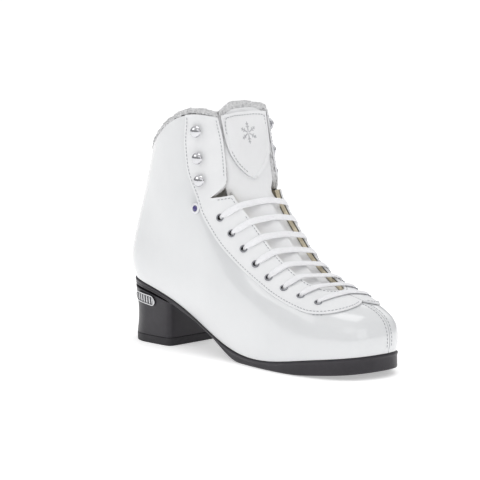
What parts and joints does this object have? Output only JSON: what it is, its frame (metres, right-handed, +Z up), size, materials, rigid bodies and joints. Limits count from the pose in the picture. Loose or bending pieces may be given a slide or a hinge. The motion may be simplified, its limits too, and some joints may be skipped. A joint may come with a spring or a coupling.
{
  "type": "figure skating boot",
  "caption": "White leather figure skating boot for the right foot, laced over a padded tongue, with flexing hooked cuffs, a moulded sole and a block heel.",
  "frame": {"origin": "centre of the heel's flat ground face", "axes": "+X towards the toe, +Y to the wearer's left, +Z up"},
  "size_m": [0.2576, 0.0843, 0.1863],
  "materials": {
    "patent_leather": "glossy patent",
    "facing_leather": "semi-matt",
    "backing_leather": "raw edge",
    "tongue_leather": "semi-matt",
    "lining": "brushed",
    "plush": "plush pile",
    "eyelet_metal": "satin",
    "hook_chrome": "polished",
    "badge_chrome": "polished",
    "rivet_enamel": "enamelled",
    "lace": "woven",
    "stiffener": "fibre board",
    "sole_unit": "satin moulded",
    "heel_rubber": "matt",
    "shank_steel": "plain"
  },
  "bodies": {
    "foot": {"quarter_right": "patent_leather", "facing_lower_right": "facing_leather", "backing_lower_right": "backing_leather", "lining_lower_right": "lining", "eyelet_right_1": "eyelet_metal", "eyelet_right_2": "eyelet_metal", "eyelet_right_3": "eyelet_metal", "eyelet_right_4": "eyelet_metal", "eyelet_right_5": "eyelet_metal", "eyelet_right_6": "eyelet_metal", "eyelet_right_7": "eyelet_metal", "eyelet_right_8": "eyelet_metal", "flex_rivet_right": "rivet_enamel", "quarter_left": "patent_leather", "facing_lower_left": "facing_leather", "backing_lower_left": "backing_leather", "lining_lower_left": "lining", "eyelet_left_1": "eyelet_metal", "eyelet_left_2": "eyelet_metal", "eyelet_left_3": "eyelet_metal", "eyelet_left_4": "eyelet_metal", "eyelet_left_5": "eyelet_metal", "eyelet_left_6": "eyelet_metal", "eyelet_left_7": "eyelet_metal", "eyelet_left_8": "eyelet_metal", "flex_rivet_left": "rivet_enamel", "tongue_lower": "tongue_leather", "tongue_lining_lower": "plush", "lace": "lace", "toe_puff": "stiffener", "heel_counter": "stiffener", "insole_board": "stiffener", "outsole": "sole_unit", "shank": "shank_steel", "heel_block": "sole_unit", "heel_lift": "heel_rubber", "footbed": "lining", "heel_screw": "shank_steel", "heel_badge": "badge_chrome"},
    "cuff_right": {"cuff_right": "patent_leather", "facing_cuff_right": "facing_leather", "backing_cuff_right": "backing_leather", "lining_cuff_right": "plush", "collar_right": "plush", "hook_right_1": "hook_chrome", "hook_right_2": "hook_chrome", "hook_right_3": "hook_chrome"},
    "cuff_left": {"cuff_left": "patent_leather", "facing_cuff_left": "facing_leather", "backing_cuff_left": "backing_leather", "lining_cuff_left": "plush", "collar_left": "plush", "hook_left_1": "hook_chrome", "hook_left_2": "hook_chrome", "hook_left_3": "hook_chrome"},
    "tongue_top": {"tongue_upper": "tongue_leather", "tongue_lining_upper": "plush", "tongue_patch": "tongue_leather"}
  },
  "joints": [
    {"name": "cuff_right_open", "type": "hinge", "parent": "foot", "child": "cuff_right", "pos_m": [-0.0175, 0.00017, 0.1187], "axis": [-0.379, 0, -0.9254], "range_deg": [0, 15]},
    {"name": "cuff_left_open", "type": "hinge", "parent": "foot", "child": "cuff_left", "pos_m": [-0.0175, 0.00017, 0.1187], "axis": [0.379, 0, 0.9254], "range_deg": [0, 15]},
    {"name": "tongue_fold", "type": "hinge", "parent": "foot", "child": "tongue_top", "pos_m": [0.1005, 0, 0.1222], "axis": [0, 1, 0], "range_deg": [0, 30]}
  ],
  "couplings": [
    {"joint": "cuff_left_open", "follows": "cuff_right_open", "ratio": 1},
    {"joint": "tongue_fold", "follows": "cuff_right_open", "ratio": 2}
  ]
}
